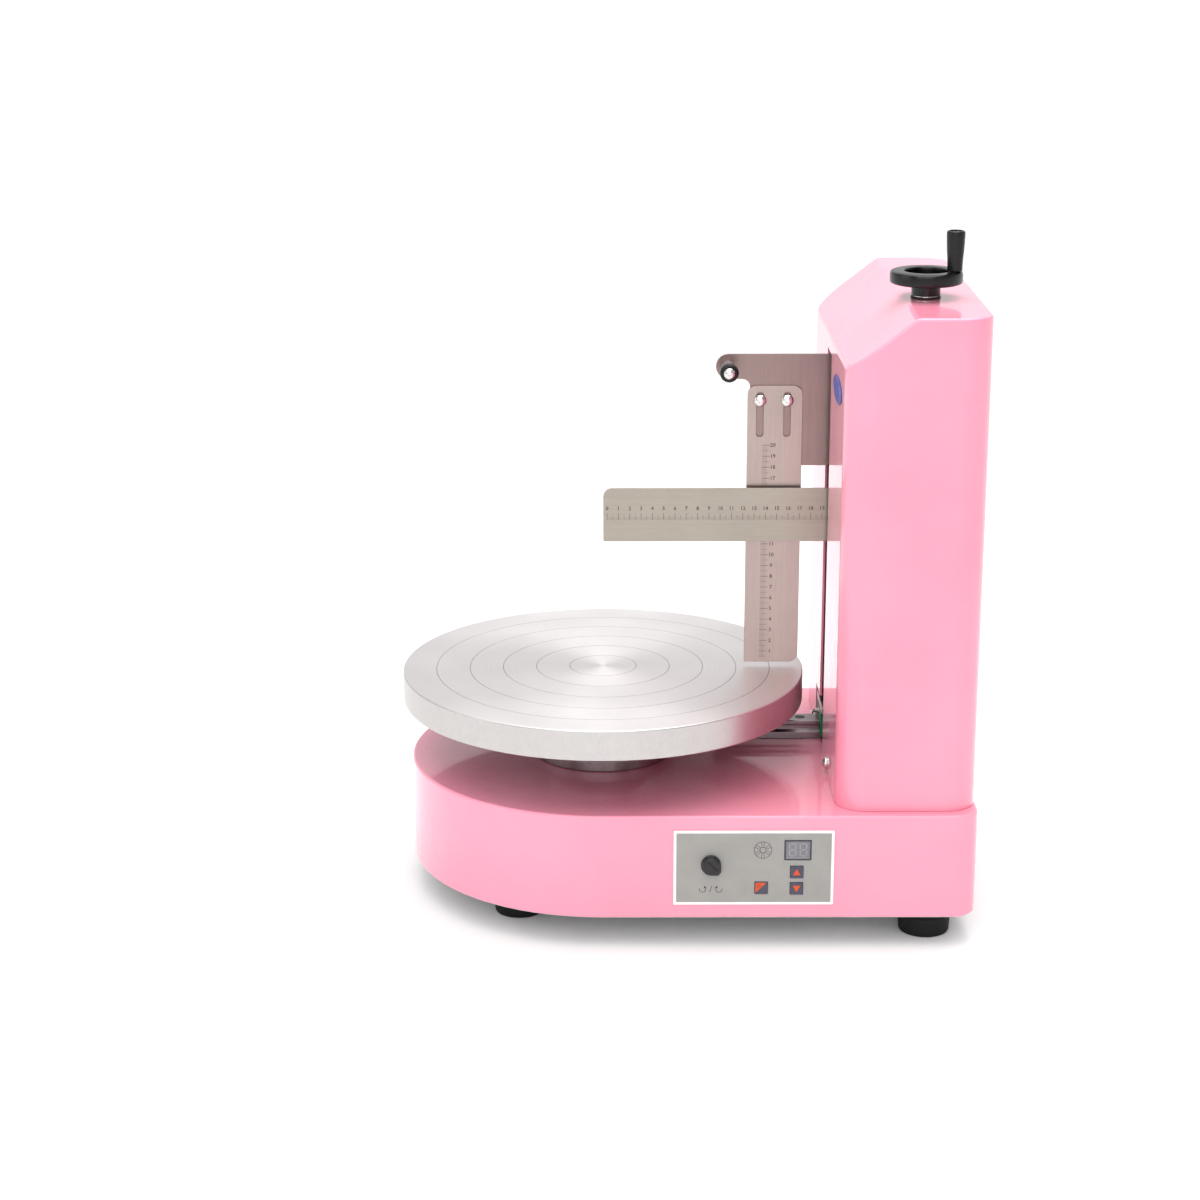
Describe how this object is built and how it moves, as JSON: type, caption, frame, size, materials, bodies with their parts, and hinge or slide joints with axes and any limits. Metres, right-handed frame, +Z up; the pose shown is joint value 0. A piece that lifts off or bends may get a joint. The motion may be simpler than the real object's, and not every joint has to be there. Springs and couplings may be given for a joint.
{
  "type": "cake decorating turntable machine",
  "caption": "Bench machine with a motor-driven round table, a column with a hand-cranked top scraper and a sliding side scraper for smoothing cake cream.",
  "frame": {"origin": "middle of the object's footprint on the surface it stands on", "axes": "+Z up, +X from the table towards the column, -Y towards the control panel"},
  "size_m": [0.5002, 0.3622, 0.6013],
  "materials": {
    "pink_paint": "glossy powder-coated sheet steel",
    "table_aluminium": "turned face with fine concentric marks",
    "aluminium": "machined",
    "brushed_stainless": "brushed stainless sheet",
    "bright_steel": "bright steel",
    "rail_steel": "ground steel",
    "zinc_steel": "zinc plated sheet",
    "motor_steel": "satin",
    "foot_rubber": "matte rubber",
    "belt_rubber": "matte rubber",
    "nut_brass": "machined",
    "green_plastic": "moulded",
    "wheel_plastic": "satin moulded",
    "handle_plastic": "satin moulded",
    "knob_plastic": "satin moulded",
    "black_plastic": "moulded",
    "panel_film": "printed film with a white border",
    "key_film": "printed film keys",
    "display_plastic": "smoked window",
    "badge_plastic": "plain oval, no mark",
    "circuit_board": "board"
  },
  "bodies": {
    "machine_base": {"base_housing": "pink_paint", "base_plate": "zinc_steel", "foot_front_left": "foot_rubber", "foot_front_right": "foot_rubber", "foot_rear_left": "foot_rubber", "foot_rear_right": "foot_rubber", "bearing_housing": "aluminium", "bearing_upper": "bright_steel", "bearing_lower": "bright_steel", "drive_belt": "belt_rubber", "motor_bracket": "zinc_steel", "gear_motor": "motor_steel", "panel_overlay": "panel_film", "display_window": "display_plastic", "selector_switch": "black_plastic", "control_board": "circuit_board", "power_inlet": "black_plastic", "column_shell": "pink_paint", "column_frame": "zinc_steel", "shell_tab": "zinc_steel", "column_bolt_front": "bright_steel", "column_bolt_rear": "bright_steel", "screw_bearing_lower": "bright_steel", "screw_bearing_upper": "bright_steel", "guide_rod_front": "bright_steel", "guide_rod_rear": "bright_steel", "badge": "badge_plastic", "linear_rail": "rail_steel"},
    "turntable_assembly": {"turntable": "table_aluminium", "turntable_hub": "aluminium", "spindle": "bright_steel", "table_pulley": "aluminium"},
    "motor_pulley_assembly": {"motor_pulley": "aluminium"},
    "lead_screw_assembly": {"lead_screw": "bright_steel", "handwheel": "wheel_plastic", "handwheel_washer": "bright_steel", "crank_pin": "bright_steel"},
    "crank_handle_sleeve": {"crank_handle": "handle_plastic"},
    "lift_assembly": {"lift_carriage": "aluminium", "lift_nut": "nut_brass", "top_scraper": "brushed_stainless", "scraper_screw_1": "bright_steel", "scraper_screw_2": "bright_steel"},
    "side_slide_assembly": {"rail_block": "rail_steel", "rail_cap_front": "green_plastic", "rail_cap_rear": "green_plastic", "carriage_plate": "zinc_steel", "side_post": "aluminium", "bracket_plate": "brushed_stainless", "clamp_screw_1": "bright_steel", "clamp_screw_2": "bright_steel", "grip_sleeve": "aluminium", "grip_ring": "foot_rubber", "grip_screw": "bright_steel"},
    "side_scraper_blade": {"side_scraper": "brushed_stainless"},
    "direction_knob_body": {"direction_knob": "knob_plastic"},
    "power_button_body": {"power_button": "key_film"},
    "up_button_body": {"up_button": "key_film"},
    "down_button_body": {"down_button": "key_film"}
  },
  "joints": [
    {"name": "turntable_spin", "type": "hinge", "parent": "machine_base", "child": "turntable_assembly", "pos_m": [-0.07005, 0.0011, 0.199], "axis": [0, 0, 1], "continuous": true},
    {"name": "motor_pulley_spin", "type": "hinge", "parent": "machine_base", "child": "motor_pulley_assembly", "pos_m": [0.06995, 0.0011, 0.05], "axis": [0, 0, 1], "continuous": true},
    {"name": "handwheel_turn", "type": "hinge", "parent": "machine_base", "child": "lead_screw_assembly", "pos_m": [0.20245, -0.0589, 0.56], "axis": [0, 0, 1], "range_deg": [-3826, 4951]},
    {"name": "crank_handle_spin", "type": "hinge", "parent": "lead_screw_assembly", "child": "crank_handle_sleeve", "pos_m": [0.225, -0.06711, 0.585], "axis": [0, 0, 1], "continuous": true},
    {"name": "top_scraper_lift", "type": "slide", "parent": "machine_base", "child": "lift_assembly", "axis": [0, 0, 1], "range_m": [-0.11, 0.085]},
    {"name": "side_scraper_slide", "type": "slide", "parent": "machine_base", "child": "side_slide_assembly", "axis": [1, 0, 0], "range_m": [-0.077, 0.021]},
    {"name": "side_scraper_height", "type": "slide", "parent": "side_slide_assembly", "child": "side_scraper_blade", "axis": [0, 0, 1], "range_m": [-0.0029, 0.029]},
    {"name": "direction_select", "type": "hinge", "parent": "machine_base", "child": "direction_knob_body", "pos_m": [0.02175, -0.1789, 0.0769], "axis": [0, -1, 0], "range_deg": [-90, 0]},
    {"name": "power_press", "type": "slide", "parent": "machine_base", "child": "power_button_body", "axis": [0, 1, 0], "range_m": [0, 0.0008], "stiffness_N_per_m": 1500, "springref_m": -0.0002},
    {"name": "up_press", "type": "slide", "parent": "machine_base", "child": "up_button_body", "axis": [0, 1, 0], "range_m": [0, 0.0008], "stiffness_N_per_m": 1500, "springref_m": -0.0002},
    {"name": "down_press", "type": "slide", "parent": "machine_base", "child": "down_button_body", "axis": [0, 1, 0], "range_m": [0, 0.0008], "stiffness_N_per_m": 1500, "springref_m": -0.0002}
  ],
  "couplings": [
    {"joint": "motor_pulley_spin", "follows": "turntable_spin", "ratio": 2.5},
    {"joint": "handwheel_turn", "follows": "top_scraper_lift", "rad_per_m": -785.4}
  ]
}
